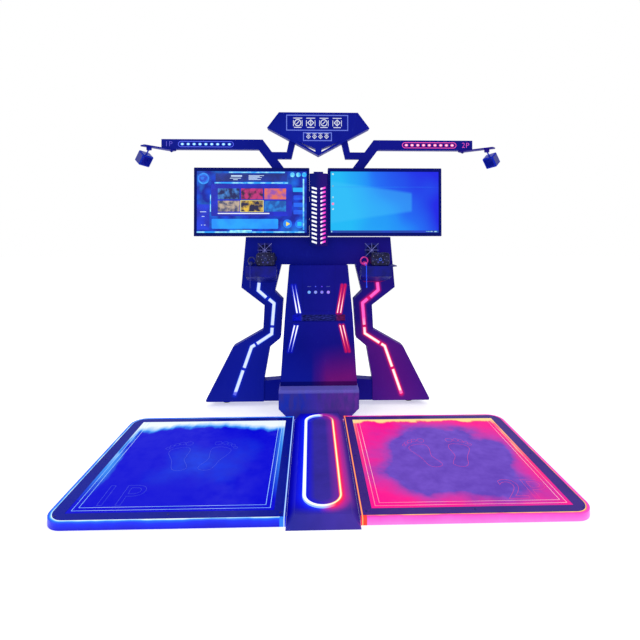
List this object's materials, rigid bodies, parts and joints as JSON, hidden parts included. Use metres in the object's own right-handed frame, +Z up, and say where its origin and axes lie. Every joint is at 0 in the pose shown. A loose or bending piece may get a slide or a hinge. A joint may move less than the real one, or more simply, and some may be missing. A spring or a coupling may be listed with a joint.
{
  "type": "dance rhythm machine",
  "caption": "Free-standing two-player dance machine: light-up floor platforms, lit console and column, zig-zag legs, displays, headset trays, arms with swivelling sensors and a sign.",
  "frame": {"origin": "on the floor, at the middle of the machine's width and depth", "axes": "+X to the players' right along the width, +Y from the players towards the machine's back, +Z up"},
  "size_m": [2.99, 1.8874, 2.44],
  "materials": {
    "navy_steel": "satin",
    "platform_steel": "satin",
    "rim_plastic": "translucent, lit",
    "blue_acrylic": "edge lit",
    "pink_acrylic": "edge lit",
    "light_lens": "translucent, lit",
    "screen_glass": "lit display",
    "black_plastic": "moulded",
    "gloss_black": "gloss",
    "button_plastic": "translucent, lit",
    "steel": "zinc plated",
    "foot_rubber": "matte",
    "strap_fabric": "woven nylon",
    "strap_plastic": "flexible band",
    "case_steel": "powder coat"
  },
  "bodies": {
    "frame": {"left_platform_frame": "platform_steel", "right_platform_frame": "platform_steel", "platform_rims": "rim_plastic", "left_floor_panel": "blue_acrylic", "right_floor_panel": "pink_acrylic", "centre_console": "navy_steel", "console_light": "light_lens", "pedestal": "navy_steel", "mains_inlet": "black_plastic", "base_frame": "navy_steel", "levelling_feet": "foot_rubber", "right_leg": "navy_steel", "left_leg": "navy_steel", "leg_lights": "light_lens", "leg_back_panels": "navy_steel", "speaker_grilles": "black_plastic", "speakers": "black_plastic", "base_covers": "navy_steel", "column_lights": "light_lens", "button_housings": "steel", "door_hinges": "steel", "column_cover": "navy_steel", "cooling_fan": "black_plastic", "computer": "case_steel", "power_supply": "case_steel", "spine_housing": "navy_steel", "spine_lights": "light_lens", "display_mount": "navy_steel", "right_display": "black_plastic", "left_display": "black_plastic", "display_screens": "screen_glass", "right_arm": "navy_steel", "left_arm": "navy_steel", "arm_lights": "light_lens", "sign_box": "navy_steel", "sign_brackets": "navy_steel", "headset_trays": "navy_steel"},
    "push_button_1": {"push_button_1": "button_plastic"},
    "push_button_2": {"push_button_2": "button_plastic"},
    "push_button_3": {"push_button_3": "button_plastic"},
    "push_button_4": {"push_button_4": "button_plastic"},
    "right_sensor_bar": {"right_sensor_bar": "steel"},
    "right_sensor_stem": {"right_sensor_stem": "steel"},
    "right_sensor": {"right_sensor": "gloss_black"},
    "right_headset": {"right_headset": "black_plastic"},
    "right_headset_strap": {"right_headset_strap": "strap_plastic"},
    "right_controller": {"right_controller": "black_plastic", "right_wrist_strap": "strap_fabric"},
    "right_trigger": {"right_trigger": "black_plastic"},
    "left_sensor_bar": {"left_sensor_bar": "steel"},
    "left_sensor_stem": {"left_sensor_stem": "steel"},
    "left_sensor": {"left_sensor": "gloss_black"},
    "left_headset": {"left_headset": "black_plastic"},
    "left_headset_strap": {"left_headset_strap": "strap_plastic"},
    "left_controller": {"left_controller": "black_plastic", "left_wrist_strap": "strap_fabric"},
    "left_trigger": {"left_trigger": "black_plastic"},
    "rear_door": {"rear_door": "navy_steel"},
    "door_lock": {"door_lock": "steel"},
    "fan_rotor": {"fan_rotor": "black_plastic"}
  },
  "joints": [
    {"name": "button_1_press", "type": "slide", "parent": "frame", "child": "push_button_1", "axis": [0, 0.9484, -0.317], "range_m": [0, 0.003], "stiffness_N_per_m": 400, "springref_m": -0.002},
    {"name": "button_2_press", "type": "slide", "parent": "frame", "child": "push_button_2", "axis": [0, 0.9484, -0.317], "range_m": [0, 0.003], "stiffness_N_per_m": 400, "springref_m": -0.002},
    {"name": "button_3_press", "type": "slide", "parent": "frame", "child": "push_button_3", "axis": [0, 0.9484, -0.317], "range_m": [0, 0.003], "stiffness_N_per_m": 400, "springref_m": -0.002},
    {"name": "button_4_press", "type": "slide", "parent": "frame", "child": "push_button_4", "axis": [0, 0.9484, -0.317], "range_m": [0, 0.003], "stiffness_N_per_m": 400, "springref_m": -0.002},
    {"name": "right_bar_swing", "type": "hinge", "parent": "frame", "child": "right_sensor_bar", "pos_m": [1.235, 0.63, 2.132], "axis": [0, 0, 1], "range_deg": [-45, 40]},
    {"name": "right_sensor_tilt", "type": "hinge", "parent": "right_sensor_bar", "child": "right_sensor_stem", "pos_m": [1.38858, 0.48678, 2.1127], "axis": [1, 0, 0], "range_deg": [-20, 15]},
    {"name": "right_sensor_swivel", "type": "hinge", "parent": "right_sensor_stem", "child": "right_sensor", "pos_m": [1.38858, 0.48678, 2.1127], "axis": [-0.5, -0.2387, 0.8325], "range_deg": [-90, 90]},
    {"name": "right_headset_lift", "type": "slide", "parent": "frame", "child": "right_headset", "axis": [0, 0, 1], "range_m": [0, 0.07]},
    {"name": "right_strap_hinge", "type": "hinge", "parent": "right_headset", "child": "right_headset_strap", "pos_m": [0.488, 0.442, 1.2283], "axis": [1, 0, 0], "range_deg": [-6, 60]},
    {"name": "right_controller_lift", "type": "slide", "parent": "frame", "child": "right_controller", "axis": [0, 0, 1], "range_m": [0, 0.12]},
    {"name": "right_trigger_pull", "type": "hinge", "parent": "right_controller", "child": "right_trigger", "pos_m": [0.371, 0.448, 1.1983], "axis": [1, 0, 0], "range_deg": [0, 12], "stiffness_Nm_per_rad": 0.25, "springref_deg": -8.59},
    {"name": "left_bar_swing", "type": "hinge", "parent": "frame", "child": "left_sensor_bar", "pos_m": [-1.235, 0.63, 2.132], "axis": [0, 0, 1], "range_deg": [-50, 35]},
    {"name": "left_sensor_tilt", "type": "hinge", "parent": "left_sensor_bar", "child": "left_sensor_stem", "pos_m": [-1.36138, 0.46229, 2.1127], "axis": [1, 0, 0], "range_deg": [-20, 15]},
    {"name": "left_sensor_swivel", "type": "hinge", "parent": "left_sensor_stem", "child": "left_sensor", "pos_m": [-1.36138, 0.46229, 2.1127], "axis": [0.5, -0.2387, 0.8325], "range_deg": [-90, 90]},
    {"name": "left_headset_lift", "type": "slide", "parent": "frame", "child": "left_headset", "axis": [0, 0, 1], "range_m": [0, 0.07]},
    {"name": "left_strap_hinge", "type": "hinge", "parent": "left_headset", "child": "left_headset_strap", "pos_m": [-0.42, 0.442, 1.2283], "axis": [1, 0, 0], "range_deg": [-6, 60]},
    {"name": "left_controller_lift", "type": "slide", "parent": "frame", "child": "left_controller", "axis": [0, 0, 1], "range_m": [0, 0.12]},
    {"name": "left_trigger_pull", "type": "hinge", "parent": "left_controller", "child": "left_trigger", "pos_m": [-0.538, 0.448, 1.1983], "axis": [1, 0, 0], "range_deg": [0, 12], "stiffness_Nm_per_rad": 0.25, "springref_deg": -8.59},
    {"name": "rear_door_hinge", "type": "hinge", "parent": "frame", "child": "rear_door", "pos_m": [-0.212, 0.8805, 0.66], "axis": [0, 0, 1], "range_deg": [0, 110]},
    {"name": "door_lock_turn", "type": "hinge", "parent": "rear_door", "child": "door_lock", "pos_m": [0.172, 0.872, 0.66], "axis": [0, 1, 0], "range_deg": [0, 90]},
    {"name": "fan_spin", "type": "hinge", "parent": "frame", "child": "fan_rotor", "pos_m": [0, 0.855, 1.115], "axis": [0, 1, 0], "continuous": true}
  ]
}
